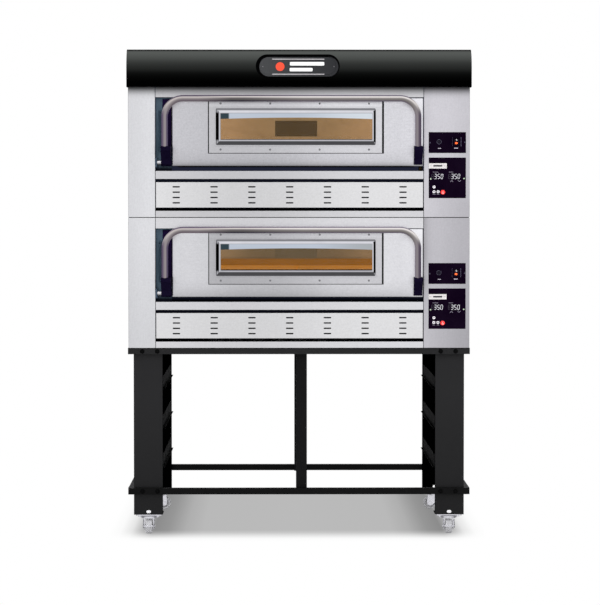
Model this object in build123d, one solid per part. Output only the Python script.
from build123d import *
import os

# Double-deck gas pizza oven on a wheeled stand, with a curved extraction hood.
# Millimetres, +Z up. Origin on the floor, under the middle of the body width
# and the middle of the body depth. The front faces -Y, so +X is the right side.
# Deck and door pieces are drawn with z = 0 at the underside of their deck.
# A rectangle seen from the front is a tuple (x0, x1, z0, z1).


def centred(x, width, z0, z1):
    """Front-view rectangle centred on x."""
    return (x - width / 2, x + width / 2, z0, z1)


def grown(rect, amount):
    """Front-view rectangle moved out (or in, if negative) on all four sides."""
    x0, x1, z0, z1 = rect
    return (x0 - amount, x1 + amount, z0 - amount, z1 + amount)


# ---------------------------------------------------------------- driving sizes
BODY_W = 1500.0          # width over the steel body
BODY_D = 1100.0          # depth of the steel body
DECK_H = 575.0           # height of one deck
STAND_TOP = 825.0        # floor to underside of the lower deck
DECK_Z = {"lower": STAND_TOP, "upper": STAND_TOP + DECK_H}
FRONT, BACK = -BODY_D / 2, BODY_D / 2
LEFT, RIGHT = -BODY_W / 2, BODY_W / 2
SHEET = 2.0              # folded stainless sheet
GAP = 1.5                # joint between neighbouring covers

PILLAR_D = 30.0          # depth of the front pillars
PILLAR_R = -631.0        # inner edge of the plain left pillar
CTRL_L = 548.0           # inner edge of the control pillar

DOOR = (-557.0, 545.0, 225.0, 524.0)
DOOR_X0, DOOR_X1 = DOOR[:2]
DOOR_T = 75.0
AXIS_Y, AXIS_Z = FRONT + 12.0, 241.0     # door hinge axis
PIN_R = 8.0
BORE_CLEAR = 0.1

WINDOW_X = -15.3         # middle of the window plate
GLASS_W, GLASS_Z0, GLASS_Z1 = 668.0, 341.5, 457.7
WINDOW_PLATE = centred(WINDOW_X, 759.5, 283.0, 508.0)
BEZEL = centred(-14.4, 712.6, 312.0, 484.0)
GLASS = centred(-10.7, GLASS_W, GLASS_Z0, GLASS_Z1)
TUNNEL = centred(WINDOW_X, GLASS_W + 36, GLASS_Z0 - 24, GLASS_Z1 + 20)
SCREW_R, SCREW_H = 4.5, 2.2

TUBE_R = 14.0            # door handle tube, outer radius
TUBE_WALL = 2.0
HANDLE_XL, HANDLE_XR = -588.0, 521.0     # leg centrelines
HANDLE_Y = FRONT - 40.0
HANDLE_TOP = 520.5       # centreline of the cross tube
HANDLE_BEND = 80.0
HANDLE_END = 294.0       # lower end of the legs, inside the sockets
SOCKET_TOP = 306.0

CH_X0, CH_X1 = -556.0, 544.0             # baking chamber, inside
CH_Y0, CH_Y1 = -468.0, 332.0
CH_Z0, CH_Z1 = 235.0, 505.0
MID_X = (CH_X0 + CH_X1) / 2              # middle of chamber, flue and hood badge
STONE_TOP, STONE_T = 345.0, 20.0
FLUE_Z, FLUE_R = 430.0, 50.0
BURNER_XS = (MID_X - 300, MID_X, MID_X + 300)
BURNER_Z = 270.0

MANIFOLD_Y = CH_Y0 + 30
PIPE_X, PIPE_R = 586.0, 10.65            # gas inlet pipe
PIPE_Z, ENTRY_Z = 260.0, 200.0           # at the valve, at the casing back

SWITCH_Z = 332.0         # reset button and rocker
RESET_X, ROCKER_X = 615.0, 692.0
RESET_BORE = 8.6
ROCKER_Y = FRONT + 2.4   # rocker pivot
ROCKER_HOLE = centred(ROCKER_X, 23, 316.5, 347.5)

SPRING_X, SPRING_Y = -612, FRONT + 34
SPRING_Z0, SPRING_LENGTH, COILS = 285, 190.0, 22

HOOD_X = 753.5           # half width of the hood
HOOD_Z0, HOOD_Z1 = 1969.5, 2136.0
HOOD_FRONT = -612.0
HOOD_CURVE_Y, HOOD_CURVE_Z = -540.0, 2040.0   # centre of the elliptical curve
HOOD_T = 3

LEG_X0, LEG_X1 = 602.0, 729.0            # stand leg faces
BAR = 24.0               # stand frame tube width
RING_X, RING_Y = 753.0, 545.0            # half width and half depth of the frames
LEG_Y = RING_Y - BAR     # outer face of legs and posts
LEG_FOOT, LEG_TOP = 87.0, 823
LEG_T = 3.0
RING_LOW = 179           # underside of the bottom frame
BOLT_ZS = (811, 193)
BOLT_H = 5.5

CASTOR_X, CASTOR_Y = 664.0, 459.0
CASTOR_BOLTS = [(x, y) for x in (-40, 40) for y in (-40, 40)]
WHEEL_R = 31.0
WHEEL_HALF = 15.0        # half width of the tread
WHEEL_Y = -28.0          # axle behind the king pin
KING_PIN_R = 7.0
AXLE_R = 5
PEDAL_PIN_R = 3
PEDAL_Y, PEDAL_Z = WHEEL_Y - 2.0, 57.0
CASTOR_FIT = 0.08        # radial clearance of the turning parts

SIDES = (-1, 1)


# ---------------------------------------------------------------- helpers
def block(x0, x1, y0, y1, z0, z1):
    centre = Pos((x0 + x1) / 2, (y0 + y1) / 2, (z0 + z1) / 2)
    return centre * Box(abs(x1 - x0), abs(y1 - y0), abs(z1 - z0))


def panel(rect, y0, y1):
    """Front-view rectangle, thick from y0 to y1."""
    x0, x1, z0, z1 = rect
    return block(x0, x1, y0, y1, z0, z1)


def cyl_x(x0, x1, y, z, radius):
    return Pos((x0 + x1) / 2, y, z) * Rot(0, 90, 0) * Cylinder(radius, abs(x1 - x0))


def cyl_y(x, y0, y1, z, radius):
    return Pos(x, (y0 + y1) / 2, z) * Rot(90, 0, 0) * Cylinder(radius, abs(y1 - y0))


def cyl_z(x, y, z0, z1, radius):
    return Pos(x, y, (z0 + z1) / 2) * Cylinder(radius, abs(z1 - z0))


def hex_x(x, y, z, radius, length):
    """Hexagonal bar along X, starting at x."""
    return extrude(Plane.YZ.offset(x) * Pos(y, z) * RegularPolygon(radius, 6), amount=length)


def prism_yz(points, x0, x1, at=(0, 0)):
    """Closed outline in (y, z), shifted by at, run along X from x0 to x1."""
    outline = [(y + at[0], z + at[1]) for y, z in points]
    face = Plane.YZ.offset(x0) * make_face(Polyline(*outline, close=True))
    return extrude(face, amount=x1 - x0)


def prism_xz(points, y0, y1):
    """Closed outline in (x, z), run along Y from y0 to y1."""
    face = Plane.XZ.offset(-y0) * make_face(Polyline(*points, close=True))
    return extrude(face, amount=-(y1 - y0))


def round_face(rect, radius, y):
    """Front-view rectangle with rounded corners, as a face at y."""
    x0, x1, z0, z1 = rect
    centre = Pos((x0 + x1) / 2, (z0 + z1) / 2)
    return Plane.XZ.offset(-y) * centre * RectangleRounded(x1 - x0, z1 - z0, radius)


def round_panel(rect, radius, y0, y1):
    return extrude(round_face(rect, radius, y0), amount=-(y1 - y0))


def front_edges(shape, along=None):
    """Edges nearest the front, optionally only those parallel to an axis."""
    edges = shape.edges() if along is None else shape.edges().filter_by(along)
    return edges.group_by(Axis.Y)[0]


NODES = {}


def add(name, *shapes, place=Pos(0, 0, 0)):
    """Collect the solids of the shapes, moved by place, under a file name."""
    for shape in shapes:
        NODES.setdefault(name, []).extend(place * solid for solid in shape.solids())


# ---------------------------------------------------------------- deck body
# Each deck and door function is named after its piece and returns a list of shapes.
def deck_casings():
    """Steel box, open at the front."""
    casing = block(LEFT, RIGHT, FRONT + PILLAR_D, BACK, 0, DECK_H)
    casing -= block(LEFT + SHEET, RIGHT - SHEET, FRONT + PILLAR_D - 1, BACK - SHEET,
                    SHEET, DECK_H - SHEET)
    y0, y1 = BACK - 4, BACK + 1
    # two rows of air slots, then gas pipe entry, cable entry and flue outlet
    for i in range(9):
        x = -420 + i * 100
        for z in (78, 98):
            casing -= block(x, x + 60, y0, y1, z, z + 6)
    casing -= cyl_y(PIPE_X, y0, y1, ENTRY_Z, 12.5)
    casing -= cyl_y(680, y0, y1, 120, 10.5)
    casing -= cyl_y(MID_X, y0, y1, FLUE_Z, FLUE_R + 2)
    return [casing]


def pillar(x0, x1):
    """Folded cover, open to the rear, top and bottom."""
    cover = block(x0, x1, FRONT, FRONT + PILLAR_D, GAP, DECK_H - GAP)
    cover = fillet(front_edges(cover, Axis.Z), 2.5)
    return cover - block(x0 + SHEET, x1 - SHEET, FRONT + SHEET, FRONT + PILLAR_D + 1,
                         -1, DECK_H + 1)


def side_pillars():
    return [pillar(LEFT, PILLAR_R)]


def control_pillars():
    """Pillar with openings behind the two control plates and a hinge pin hole."""
    cover = pillar(CTRL_L, RIGHT)
    for z0, z1 in ((302, 358), (106, 241)):
        cover -= block(590, 716, FRONT - 1, FRONT + 3, z0, z1)
    cover -= cyl_x(CTRL_L - 1, CTRL_L + 3, AXIS_Y, AXIS_Z, PIN_R + 1.5)
    return [cover]


def front_rails():
    """Top rail, sill and bottom rail between the pillars."""
    def strip(depth, z0, z1):
        return block(PILLAR_R + GAP, CTRL_L - GAP, FRONT, FRONT + depth, z0, z1)

    top = strip(SHEET, 527, DECK_H - GAP) + strip(62, 527, 529)
    sill = strip(SHEET, 169, 204) + strip(70, 202, 204)
    sill += strip(20, 169, 171)
    bottom = strip(SHEET, GAP, 29) + strip(30, 27, 29)
    return [top, sill, bottom]


def vent_panels():
    """Folded tray below the sill, with a grid of punched air slots."""
    outline = (PILLAR_R + 3, CTRL_L - 3, 43, 155)
    tray = panel(outline, FRONT, FRONT + 22)
    tray = fillet(front_edges(tray), 1.2)
    tray -= panel(grown(outline, -SHEET), FRONT + SHEET, FRONT + 23)
    for column in range(7):
        x = -539.0 + 166.0 * column
        for row in range(4):
            z = 64.2 + 23.4 * row
            slot = centred(x, 32.4, z - 2.9, z + 2.9)
            tray -= round_panel(slot, 2.6, FRONT - 1, FRONT + 3)
    return [tray]


def chambers():
    """Steel panels of the baking chamber, open in front above a low shield."""
    y_out = CH_Y1 + SHEET
    side_z = (CH_Z0 - SHEET, CH_Z1 + SHEET)
    left = block(CH_X0 - SHEET, CH_X0, CH_Y0, y_out, *side_z)
    right = block(CH_X1, CH_X1 + SHEET, CH_Y0, y_out, *side_z)
    right -= cyl_x(CH_X1 - 1, CH_X1 + SHEET + 1, MANIFOLD_Y, BURNER_Z, 11.5)
    rear = block(CH_X0, CH_X1, CH_Y1, y_out, CH_Z0, CH_Z1)
    rear -= cyl_y(MID_X, CH_Y1 - 1, y_out + 1, FLUE_Z, 30)
    roof = block(CH_X0, CH_X1, CH_Y0, y_out, CH_Z1, CH_Z1 + SHEET)
    floor = block(CH_X0, CH_X1, CH_Y0, y_out, CH_Z0 - SHEET, CH_Z0)
    shield = block(CH_X0, CH_X1, CH_Y0, CH_Y0 + SHEET, CH_Z0, STONE_TOP)
    # ledges that carry the stones
    stone_z = STONE_TOP - STONE_T
    ledges = [block(x, x + 22, CH_Y0 + SHEET, CH_Y1, stone_z - 4, stone_z)
              for x in (CH_X0, CH_X1 - 22)]
    return [left, right, rear, roof, floor, shield, *ledges]


def stone_slabs():
    slabs = []
    for x0, x1 in ((CH_X0 + 2, MID_X - 1), (MID_X + 1, CH_X1 - 2)):
        slab = block(x0, x1, CH_Y0 + SHEET + 2, CH_Y1 - 2, STONE_TOP - STONE_T, STONE_TOP)
        slabs.append(chamfer(slab.edges().group_by(Axis.Z)[-1], 2))
    return slabs


def insulation_jackets():
    """Jacket over the sides, back and roof of the baking space."""
    reach = SHEET + 1
    jacket = block(-622, 612, CH_Y0 + 2, CH_Y1 + 60, 330, 568)
    jacket -= block(CH_X0 - reach, CH_X1 + reach, CH_Y0, CH_Y1 + reach, 329, CH_Z1 + reach)
    jacket -= cyl_y(MID_X, CH_Y1 + 1, CH_Y1 + 62, FLUE_Z, FLUE_R + 1)
    return [jacket]


def flue_sleeves():
    """Straight sleeve from the chamber out through the casing back, with a collar."""
    y0 = CH_Y1 + SHEET
    sleeve = cyl_y(MID_X, y0, BACK + 67, FLUE_Z, FLUE_R)
    sleeve += cyl_y(MID_X, BACK, BACK + 4, FLUE_Z, FLUE_R + 10)
    sleeve -= cyl_y(MID_X, y0 - 1, BACK + 68, FLUE_Z, FLUE_R - SHEET)
    return [sleeve]


def flue_baffles():
    """Plate on four headed studs in front of the flue opening."""
    baffle = panel(centred(MID_X, 198, 378, 452), CH_Y1 - 9, CH_Y1 - 7)
    for x in (MID_X - 90, MID_X + 90):
        for z in (386, 444):
            baffle += cyl_y(x, CH_Y1 - 8, CH_Y1, z, 3.5)
            baffle += cyl_y(x, CH_Y1 - 11, CH_Y1 - 8, z, 5)
    return [baffle]


def burner_tubes():
    """Tubes with flame ports on top, open in front and closed at the rear."""
    tubes = []
    for x in BURNER_XS:
        tube = cyl_y(x, CH_Y0 + 42, CH_Y1 - 40, BURNER_Z, 20)
        tube -= cyl_y(x, CH_Y0 + 41, CH_Y1 - 42, BURNER_Z, 18)
        for i in range(12):
            tube -= cyl_z(x, CH_Y0 + 90 + i * 56, 280, 292, 4)
        tubes.append(tube)
    return tubes


def gas_trains():
    """Manifold with injector stubs, valve block and inlet pipe."""
    manifold = cyl_x(-330, CH_X1 + 14, MANIFOLD_Y, BURNER_Z, 9)
    for x in BURNER_XS:
        manifold += cyl_y(x, MANIFOLD_Y, MANIFOLD_Y + 24, BURNER_Z, 6)

    valve = block(CH_X1 + 14, 616, MANIFOLD_Y - 30, MANIFOLD_Y + 34, 238, 302)
    valve = fillet(valve.edges().filter_by(Axis.X), 5)
    valve += cyl_z(PIPE_X, MANIFOLD_Y - 4, 302, 326, 20)
    valve = chamfer(valve.edges().group_by(Axis.Z)[-1], 2)
    pipe_y = MANIFOLD_Y + 20
    valve -= cyl_y(PIPE_X, pipe_y, MANIFOLD_Y + 36, PIPE_Z, PIPE_R)

    # the pipe drops to the low entry at the back
    route = Plane.YZ.offset(PIPE_X) * FilletPolyline(
        (pipe_y, PIPE_Z), (400, PIPE_Z), (400, ENTRY_Z), (BACK + 28, ENTRY_Z), radius=24)
    section = Plane.XZ.offset(-pipe_y) * Pos(PIPE_X, PIPE_Z) * Circle(PIPE_R)
    pipe = sweep(section, path=route)
    pipe += cyl_y(PIPE_X, BACK, BACK + 4, ENTRY_Z, 17)
    pipe -= cyl_y(PIPE_X, BACK - 30, BACK + 29, ENTRY_Z, 8)
    return [manifold, valve, pipe]


def chamber_lamps():
    """Round lamp with a stepped base on the right chamber wall."""
    lamp = cyl_x(CH_X1 - 8, CH_X1, -330, 440, 30)
    lamp += cyl_x(CH_X1 - 20, CH_X1 - 8, -330, 440, 22)
    return [fillet(lamp.edges().group_by(Axis.X)[0], 6)]


# ---------------------------------------------------------------- controls
def control_boards():
    """Circuit board with its components on the rear and four standoffs in front."""
    y0 = FRONT + 12
    y1 = y0 + 1.6
    board = block(596, 712, y0, y1, 112, 236)
    board += block(604, 640, y1, FRONT + 26, 122, 150) + block(652, 704, y1, FRONT + 24, 190, 226)
    board += block(604, 642, y1, FRONT + 22, 168, 180) + cyl_y(680, y1, FRONT + 28, 140, 8)
    for x in (600, 708):
        for z in (116, 232):
            board += cyl_y(x, FRONT, y0, z, 3)
    return [board]


def switch_plates():
    """Upper plate: reset button hole and raised rocker bezel."""
    plate = round_panel((569.5, 733, 283, 374.5), 1.5, FRONT - 2, FRONT)
    plate -= cyl_y(RESET_X, FRONT - 3, FRONT + 1, SWITCH_Z, RESET_BORE)
    plate += round_panel(centred(ROCKER_X, 37, 311, 353), 5, FRONT - 4.5, FRONT - 2)
    plate = chamfer(front_edges(plate), 1.0)
    plate -= panel(ROCKER_HOLE, FRONT - 6, FRONT + 1)
    # rocker housing behind the bezel, open to the front
    housing = panel(centred(ROCKER_X, 28, 314, 350), FRONT, FRONT + 24)
    plate += housing - panel(ROCKER_HOLE, FRONT - 1, FRONT + 20)
    plate -= cyl_x(ROCKER_X - 13.4, ROCKER_X + 13.4, ROCKER_Y, SWITCH_Z, 1.58)
    # guide sleeve behind the reset button
    sleeve = cyl_y(RESET_X, FRONT, FRONT + 18, SWITCH_Z, 12)
    plate += sleeve - cyl_y(RESET_X, FRONT - 1, FRONT + 15, SWITCH_Z, RESET_BORE)
    return [plate]


def control_plates():
    plate = round_panel((570, 733, 85, 263), 1.5, FRONT - 2, FRONT)
    return [chamfer(front_edges(plate), 0.5)]


def reset_button():
    button = cyl_y(RESET_X, FRONT - 6, FRONT + 6, SWITCH_Z, 8.0)
    return [fillet(front_edges(button), 1.5)]


# rocker section: (y, z) from its pivot
ROCKER_OUTLINE = [
    (-4.0, 13.0), (-9.2, 13.0), (-6.0, 0.0), (-5.2, -13.0), (-1.0, -13.0),
    (6.0, -4.0), (6.0, 4.0),
]


def rocker():
    """Kicked rocker cap on a pivot bar."""
    cap = prism_yz(ROCKER_OUTLINE, ROCKER_X - 10.4, ROCKER_X + 10.4, at=(ROCKER_Y, SWITCH_Z))
    return [cap + cyl_x(ROCKER_X - 12.8, ROCKER_X + 12.8, ROCKER_Y, SWITCH_Z, 1.5)]


# ---------------------------------------------------------------- door hinge, fixed side
def hinge_bearings():
    bore = PIN_R + BORE_CLEAR
    z0, z1 = 219, 263
    left = block(PILLAR_R, PILLAR_R + 8, FRONT + 1, FRONT + 42, z0, z1)
    left -= cyl_x(PILLAR_R - 1, PILLAR_R + 9, AXIS_Y, AXIS_Z, bore)
    left = fillet(front_edges(left, Axis.X), 8)
    right = block(CTRL_L + 3, CTRL_L + 13, FRONT + SHEET, FRONT + 42, z0, z1)
    right -= cyl_x(CTRL_L + 2, CTRL_L + 14, AXIS_Y, AXIS_Z, bore)
    return [left, right]


def hinge_covers():
    """Back plate of the recess left of the door, and a slotted cover on it."""
    x1 = DOOR_X0 - 3
    plate = block(PILLAR_R, x1, FRONT + 47, FRONT + 49, 205, 526.5)
    cover = block(-600, x1, FRONT + 22, FRONT + 47, 272, 520)
    cover = fillet(front_edges(cover, Axis.Z), 3)
    for i in range(5):
        z = 292 + i * 46
        cover -= block(-592, -568, FRONT + 20, FRONT + 26, z, z + 26)
    return [plate, cover]


def balance_springs():
    """Door spring as a ribbed bar, held by a peg at each end."""
    pitch = SPRING_LENGTH / COILS
    spring_top = SPRING_Z0 + SPRING_LENGTH
    outline = [(0, SPRING_Z0)]
    for i in range(COILS):
        z = SPRING_Z0 + i * pitch
        outline += [(4.6, z), (6.6, z + pitch * 0.5)]
    outline += [(4.6, spring_top), (0, spring_top)]
    face = Plane.XZ * make_face(Polyline(*outline, close=True))
    spring = Pos(SPRING_X, SPRING_Y, 0) * revolve(face, Axis.Z, 360)
    spring += (cyl_y(SPRING_X, SPRING_Y, FRONT + 47, spring_top, 2.5)
               + cyl_y(SPRING_X, SPRING_Y, FRONT + 47, SPRING_Z0, 2.5))
    return [spring]


# ---------------------------------------------------------------- door
def door_skin():
    """Folded front pan with the window opening."""
    skin = panel(DOOR, FRONT, FRONT + 40)
    skin = fillet(front_edges(skin, Axis.Z), 4)
    skin = fillet(front_edges(skin, Axis.X), 3)
    skin -= panel(grown(DOOR, -SHEET), FRONT + SHEET, FRONT + 41)
    return [skin - panel(grown(TUNNEL, 14), FRONT - 1, FRONT + 3)]


def door_liner():
    """Inner tray, open towards the skin, with a sleeve round the window tunnel."""
    inner_y = FRONT + DOOR_T - 1.5
    liner = panel(grown(DOOR, -3), FRONT + 40, FRONT + DOOR_T)
    liner = fillet(liner.edges().group_by(Axis.Y)[-1], 3)
    liner += panel(grown(DOOR, -3), FRONT + 26, FRONT + 40)
    liner -= panel(grown(DOOR, -4.5), FRONT + 20, inner_y)
    liner += panel(grown(TUNNEL, 1.5), FRONT + 26, inner_y)
    return [liner - panel(TUNNEL, FRONT + 20, FRONT + DOOR_T + 1)]


def window_frame():
    """Window plate with a raised bezel and walls running back to the glass."""
    frame = round_panel(WINDOW_PLATE, 2, FRONT - 1.5, FRONT)
    bezel = panel(BEZEL, FRONT - 4, FRONT - 1.5)
    frame += fillet(bezel.edges().filter_by(Axis.Y), 8)
    frame += panel(grown(TUNNEL, -0.5), FRONT, FRONT + 30)
    # opening tapers from the bezel down to the glass
    frame -= loft([round_face(grown(BEZEL, -5), 6, FRONT - 4.01),
                   round_face(GLASS, 4, FRONT + 22)])
    return [frame - panel(GLASS, FRONT + 21, FRONT + 31)]


def door_glass():
    outer = panel(grown(GLASS, 4), FRONT + 30, FRONT + 34)
    inner = panel(TUNNEL, FRONT + 60, FRONT + 64)
    return [outer, inner]


def slotted_screw(x, y, z):
    """Domed screw head against a face at y, standing towards -Y."""
    dome = Pos(x, y, z) * Rot(90, 0, 0) * Cylinder(
        SCREW_R, SCREW_H, align=(Align.CENTER, Align.CENTER, Align.MIN))
    dome = fillet(dome.edges().sort_by(Axis.Y)[0], 1.4)
    reach = SCREW_R * 0.7
    return dome - block(x - reach, x + reach, y - SCREW_H - 1, y - SCREW_H + 0.9,
                        z - 0.6, z + 0.6)


def window_screws():
    return [slotted_screw(x, FRONT - 1.5, z)
            for x in (-344.1, -126.3, 90.6, 307.1) for z in (499.5, 298.0)]


def handle():
    """Arched tube, both ends down into the sockets."""
    path = Plane.XZ.offset(-HANDLE_Y) * FilletPolyline(
        (HANDLE_XL, HANDLE_END), (HANDLE_XL, HANDLE_TOP),
        (HANDLE_XR, HANDLE_TOP), (HANDLE_XR, HANDLE_END), radius=HANDLE_BEND)
    start = Plane.XY.offset(HANDLE_END) * Pos(HANDLE_XL, HANDLE_Y)
    outer = sweep(start * Circle(TUBE_R), path=path)
    inner = sweep(start * Circle(TUBE_R - TUBE_WALL), path=path)
    return [outer - inner]


# socket section and the left socket's hinge lug: (y from FRONT, z)
SOCKET_OUTLINE = [
    (-2.5, 231), (-2.5, SOCKET_TOP + 4), (-8, SOCKET_TOP + 8), (-52, SOCKET_TOP + 6),
    (-58, SOCKET_TOP), (-58, 294), (-44, 279), (-21.5, 253), (-17, 232),
]
LUG_OUTLINE = [(-2.5, 231), (-2.5, 262), (12, 265), (12, 226)]


def socket_body(x0, x1):
    body = prism_yz(SOCKET_OUTLINE, x0, x1, at=(FRONT, 0))
    return fillet(front_edges(body, Axis.X), 6)


def handle_sockets():
    """Sockets for the tube ends; the left one also turns on the hinge pin."""
    x0, x1 = -605.0, -561.0
    left = socket_body(x0, x1)
    left += prism_yz(LUG_OUTLINE, x0, x1, at=(FRONT, 0))
    left += cyl_x(x0, x1, AXIS_Y, AXIS_Z, 16)
    left -= cyl_x(x0 - 1, x1 + 1, AXIS_Y, AXIS_Z, PIN_R)
    left -= cyl_z(HANDLE_XL, HANDLE_Y, HANDLE_END, 330, TUBE_R)

    x0, x1 = 504.0, 541.5
    right = socket_body(x0, x1)
    right -= cyl_z(HANDLE_XR, HANDLE_Y, HANDLE_END, 330, TUBE_R)
    # foot pad against the door skin
    right += block(x0 + 6, x1 - 6, FRONT - 2.5, FRONT, 238, 300)
    return [left, right]


def hinge_pins():
    """Left pin with a collar, and plain right pin."""
    left = cyl_x(PILLAR_R + 0.5, DOOR_X0, AXIS_Y, AXIS_Z, PIN_R)
    left += cyl_x(PILLAR_R + 10, -606, AXIS_Y, AXIS_Z, 11)
    return [left, cyl_x(DOOR_X1, CTRL_L + 12, AXIS_Y, AXIS_Z, PIN_R)]


# ---------------------------------------------------------------- hood
def hood_block(inset, z0):
    """Upright front face, then an elliptical curve back to the top."""
    y, z = HOOD_CURVE_Y, HOOD_CURVE_Z
    depth, rise = y - HOOD_FRONT - inset, HOOD_Z1 - z - inset
    arc = EllipticalCenterArc((y, z), depth, rise, start_angle=90, arc_size=90)
    rest = Polyline((y - depth, z), (y - depth, z0), (y, z0), (y, z + rise))
    half = HOOD_X - inset
    face = Plane.YZ.offset(-half) * make_face([arc] + list(rest.edges()))
    return extrude(face, amount=2 * half)


def hood_fascia():
    fascia = hood_block(0, HOOD_Z0) - hood_block(HOOD_T, HOOD_Z0 - 5)
    # strip inside the top edge
    fascia += block(-HOOD_X + HOOD_T, HOOD_X - HOOD_T, -552, HOOD_CURVE_Y,
                    HOOD_Z1 - 5.2, HOOD_Z1 - HOOD_T)
    return [fascia]


def hood_shell():
    """Box behind the fascia, open below, with a round outlet and two ribs."""
    outlet_y = 350
    shell = block(-748, 748, -539.5, BACK, 1975, 2130)
    shell -= block(-746, 746, -541, BACK - SHEET, 1974, 2128)
    shell -= cyl_z(MID_X, outlet_y, 2120, 2140, 74)
    shell += cyl_z(MID_X, outlet_y, 2128, 2157, 76) - cyl_z(MID_X, outlet_y, 2127, 2158, 74)
    shell += block(-744, 744, -200, -198, 2108, 2128) + block(-744, 744, 150, 152, 2108, 2128)
    return [shell]


def hood_badge():
    """Stadium pod on the fascia, with a sunk plate."""
    pod = round_panel(centred(MID_X, 366, 2010, 2111), 50.4, -617, -560)
    pod = pod - hood_block(0, HOOD_Z0)
    # keep only the part in front of the fascia
    pod = pod.solids().sort_by(Axis.Y)[0]
    pod -= round_panel(centred(MID_X, 334, 2021, 2100), 39.4, -618, -615)
    plate = round_panel(centred(MID_X, 332, 2022, 2099), 38.4, -616.4, -615)
    return [pod, plate]


def hood_filters():
    """Two slotted grease filters under the overhang."""
    filters = []
    for x0, x1 in ((-745, -3), (3, 745)):
        grid = block(x0, x1, -607, -554, 1984, 1994)
        for i in range(14):
            x = x0 + 14 + i * 51.5
            grid -= block(x, x + 34, -598, -563, 1983, 1995)
        filters.append(grid)
    return filters


# ---------------------------------------------------------------- stand
def frame_ring(z0, z1):
    ring = block(-RING_X, RING_X, -RING_Y, RING_Y, z0, z1)
    ring = fillet(ring.edges().filter_by(Axis.Z), 3)
    return ring - block(-RING_X + BAR, RING_X - BAR, -RING_Y + BAR, RING_Y - BAR,
                        z0 - 1, z1 + 1)


def stand_top_frame():
    """Ring with two cross members under the oven."""
    frame = frame_ring(798.5, STAND_TOP)
    for x in (-300, 314):
        frame += block(x - BAR / 2, x + BAR / 2, -LEG_Y, LEG_Y, 806, STAND_TOP)
    return [frame]


def stand_bottom_frame():
    return [frame_ring(RING_LOW, 207)]


def stand_leg(sx, sy):
    """Folded leg: front or rear face, side face, two return lips and a foot plate."""
    x_out, x_in = sx * LEG_X1, sx * LEG_X0
    y_out, y_in = sy * LEG_Y, sy * (LEG_Y - 124)
    y_skin = y_out - sy * LEG_T
    leg = block(x_in, x_out, y_out, y_skin, LEG_FOOT, LEG_TOP)
    leg += block(x_out - sx * LEG_T, x_out, y_in, y_out, LEG_FOOT, LEG_TOP)
    leg += block(x_in, x_in + sx * LEG_T, y_out - sy * 30, y_out, LEG_FOOT, LEG_TOP)
    leg += block(x_out, x_out - sx * 30, y_in, y_in + sy * LEG_T, LEG_FOOT, LEG_TOP)
    leg += block(x_in, x_out, y_in, y_out, LEG_FOOT, LEG_FOOT + LEG_T)
    # rounded hole low in the front or rear face
    hole = centred(sx * CASTOR_X, 20, 93.5, 106.5)
    leg -= round_panel(hole, 6.4, min(y_out, y_skin) - 1, max(y_out, y_skin) + 1)
    for x, y in CASTOR_BOLTS:
        leg -= cyl_z(sx * CASTOR_X + x, sy * CASTOR_Y + y, LEG_FOOT - 1,
                     LEG_FOOT + LEG_T + 1, 4.25)
    return leg


def stand_legs():
    return [stand_leg(sx, sy) for sx in SIDES for sy in SIDES]


def stand_posts():
    """Centre posts of tube, closed on top, front and rear."""
    posts = []
    for sy in SIDES:
        y0, y1 = sorted((sy * LEG_Y, sy * (LEG_Y - 30)))
        posts.append(block(-13, 35, y0, y1, RING_LOW, LEG_TOP)
                     - block(-10, 32, y0 + 3, y1 - 3, RING_LOW - 1, LEG_TOP - 1))
    return posts


def tray_runners():
    """Folded L rails between the front and rear legs, three on each side."""
    web_in, web_out = 605, 606.5
    runners = []
    for sx in SIDES:
        for z in (290.0, 465.0, 640.0):
            outline = [(web_in, z + 52), (web_in, z + 1.5), (594, z + 1.5), (594, z),
                       (web_out, z), (web_out, z + 52)]
            rail = prism_xz([(sx * a, b) for a, b in outline], -490, 490)
            rail += block(sx * web_in, sx * web_out, -517, 517, z, z + 52)
            runners.append(rail)
    return runners


def frame_bolt(x, z, sy):
    """Hexagon bolt and washer on the front (sy = -1) or rear (sy = 1) of a frame."""
    y = sy * RING_Y
    outline = Plane.XZ.offset(-y) * Pos(x, z) * RegularPolygon(8, 6)
    head = extrude(outline, amount=-sy * BOLT_H)
    outer = head.edges().group_by(Axis.Y)[0 if sy < 0 else -1]
    return chamfer(outer, 0.8) + cyl_y(x, y, y + sy * 1.6, z, 10)


def frame_bolts():
    """Bolts on the front and rear, then plain heads on the sides."""
    bolts = [frame_bolt(sx * x, z, sy)
             for sx in SIDES for z in BOLT_ZS for x in (624, 690) for sy in SIDES]
    bolts += [hex_x(sx * RING_X, y, z, 8, sx * BOLT_H)
              for sx in SIDES for z in BOLT_ZS for y in (-430, 430)]
    return bolts


# ---------------------------------------------------------------- castors
# Castor frame: origin on the floor under the king pin, wheel trailing to -Y.
def castor_plate():
    """Fixed top plate with the king pin and the bolts up into the leg foot."""
    under = LEG_FOOT - 6
    plate = block(-57, 57, -52, 52, under, LEG_FOOT)
    plate = fillet(plate.edges().filter_by(Axis.Z), 8)
    plate += cyl_z(0, 0, 80, under, 14)
    plate += cyl_z(0, 0, 66, 80, KING_PIN_R)
    plate += cyl_z(0, 0, 62, 66.0, 12)
    for x, y in CASTOR_BOLTS:
        plate += cyl_z(x, y, LEG_FOOT, LEG_FOOT + 9, 4.0)
        plate += extrude(Plane.XY.offset(under - 5) * Pos(x, y) * RegularPolygon(7.5, 6),
                         amount=5)
    return plate


# fork side plate: (y, z)
FORK_OUTLINE = [
    (26, 70), (12, 46), (WHEEL_Y + 12, 21), (WHEEL_Y, 17), (WHEEL_Y - 12, 22),
    (WHEEL_Y - 14, 40), (WHEEL_Y - 10, 70),
]


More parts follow.
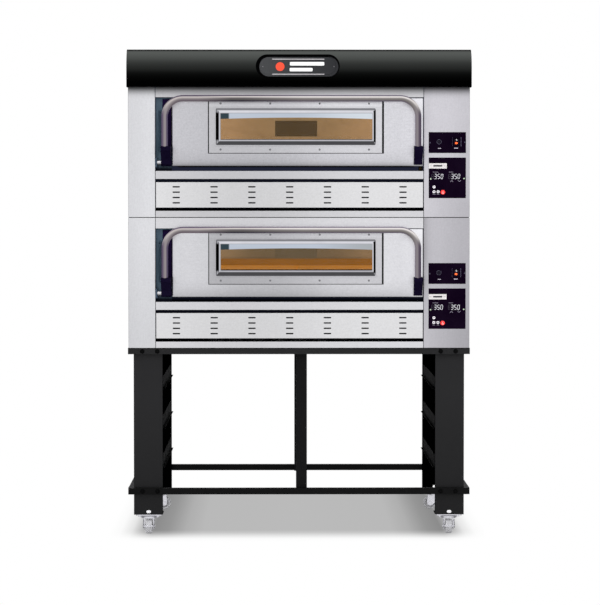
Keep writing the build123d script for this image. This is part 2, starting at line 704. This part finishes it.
def castor_fork(braked):
    """Swivel head, two side plates and the axle bolt."""
    fork = cyl_z(0, 0, 70, 79, 41)
    fork = fillet(fork.edges().filter_by(GeomType.CIRCLE).group_by(Axis.Z)[-1], 4)
    fork += cyl_z(0, 0, 66.5, 70, 36)
    fork -= cyl_z(0, 0, 60, 85, KING_PIN_R + CASTOR_FIT)
    fork -= cyl_z(0, 0, 60, 67.0, 14)
    for s in SIDES:
        x0, x1 = sorted((s * (WHEEL_HALF + 3.5), s * (WHEEL_HALF + 7.0)))
        fork += prism_yz(FORK_OUTLINE, x0, x1)
    end = WHEEL_HALF + 12
    axle = cyl_x(-end, end, WHEEL_Y, WHEEL_R, AXLE_R)
    axle += hex_x(-end, WHEEL_Y, WHEEL_R, 8.5, 5)
    axle += hex_x(end - 5, WHEEL_Y, WHEEL_R, 8.5, 5)
    fork += axle
    if braked:
        # stub pins that carry the brake pedal
        fork += (cyl_x(-26, -21, PEDAL_Y, PEDAL_Z, PEDAL_PIN_R)
                 + cyl_x(21, 26, PEDAL_Y, PEDAL_Z, PEDAL_PIN_R))
    return fork


def castor_wheel():
    """Hub, web and tread in one moulding."""
    wheel = cyl_x(-WHEEL_HALF, WHEEL_HALF, WHEEL_Y, WHEEL_R, WHEEL_R)
    wheel = fillet(wheel.edges().filter_by(GeomType.CIRCLE), 5)
    for s in SIDES:
        groove = cyl_x(s * (WHEEL_HALF - 5), s * (WHEEL_HALF + 1), WHEEL_Y, WHEEL_R, 22)
        groove -= cyl_x(s * (WHEEL_HALF - 6), s * (WHEEL_HALF + 2), WHEEL_Y, WHEEL_R, 11)
        wheel -= groove
    wheel += cyl_x(-WHEEL_HALF - 2.5, WHEEL_HALF + 2.5, WHEEL_Y, WHEEL_R, 10)
    return wheel - cyl_x(-40, 40, WHEEL_Y, WHEEL_R, AXLE_R + CASTOR_FIT)


# pedal arm: (y, z)
ARM_OUTLINE = [
    (PEDAL_Y + 7, PEDAL_Z + 6), (PEDAL_Y + 7, PEDAL_Z - 6), (PEDAL_Y - 8, PEDAL_Z - 8),
    (WHEEL_Y - 38, 36), (WHEEL_Y - 52, 36), (WHEEL_Y - 52, 40), (WHEEL_Y - 40, 44),
    (PEDAL_Y - 6, PEDAL_Z + 7),
]


def brake_pedal():
    """Ribbed tread ahead of the wheel, on two arms."""
    pedal = block(-25, 25, WHEEL_Y - 56, WHEEL_Y - 38, 36, 39)
    pedal = fillet(front_edges(pedal, Axis.Z), 6)
    for i in range(4):
        y = WHEEL_Y - 54 + i * 4.2
        pedal += block(-20, 20, y, y + 1.6, 38.5, 40.2)
    for s in SIDES:
        x0, x1 = sorted((s * (WHEEL_HALF + 7.6), s * (WHEEL_HALF + 10)))
        bore = cyl_x(-40, 40, PEDAL_Y, PEDAL_Z, PEDAL_PIN_R + CASTOR_FIT)
        pedal += prism_yz(ARM_OUTLINE, x0, x1) - bore
    return pedal


def add_castors():
    for sx, side in ((-1, "left"), (1, "right")):
        for sy, end in ((-1, "front"), (1, "rear")):
            front = end == "front"
            spot = Pos(sx * CASTOR_X, sy * CASTOR_Y, 0)
            # the rear castors stand turned a quarter, wheels inward
            turned = spot * Rot(0, 0, 0 if front else -sx * 90)
            add("castor_plates", castor_plate(), place=spot)
            add(f"fork_{end}_{side}", castor_fork(front), place=turned)
            add(f"wheel_{end}_{side}", castor_wheel(), place=turned)
            if front:
                add(f"pedal_front_{side}", brake_pedal(), place=spot)


# ---------------------------------------------------------------- build and export
# one file holds both decks' copies
SHARED_PIECES = (
    deck_casings, side_pillars, control_pillars, front_rails, vent_panels, chambers,
    stone_slabs, insulation_jackets, flue_sleeves, flue_baffles, burner_tubes, gas_trains,
    chamber_lamps, control_boards, switch_plates, control_plates, hinge_bearings,
    hinge_covers, balance_springs,
)
# one file for each deck
DECK_PIECES = (
    reset_button, rocker, door_skin, door_liner, window_frame, door_glass, window_screws,
    handle, handle_sockets, hinge_pins,
)
SINGLE_PIECES = (
    hood_fascia, hood_shell, hood_badge, hood_filters, stand_top_frame,
    stand_bottom_frame, stand_legs, stand_posts, tray_runners, frame_bolts,
)

for deck, deck_z in DECK_Z.items():
    for build in SHARED_PIECES:
        add(build.__name__, *build(), place=Pos(0, 0, deck_z))
    for build in DECK_PIECES:
        add(f"{deck}_{build.__name__}", *build(), place=Pos(0, 0, deck_z))
for build in SINGLE_PIECES:
    add(build.__name__, *build())
add_castors()

os.makedirs("parts", exist_ok=True)
for name, solids in NODES.items():
    shape = solids[0] if len(solids) == 1 else Compound(solids)
    export_step(shape, f"parts/{name}.step")
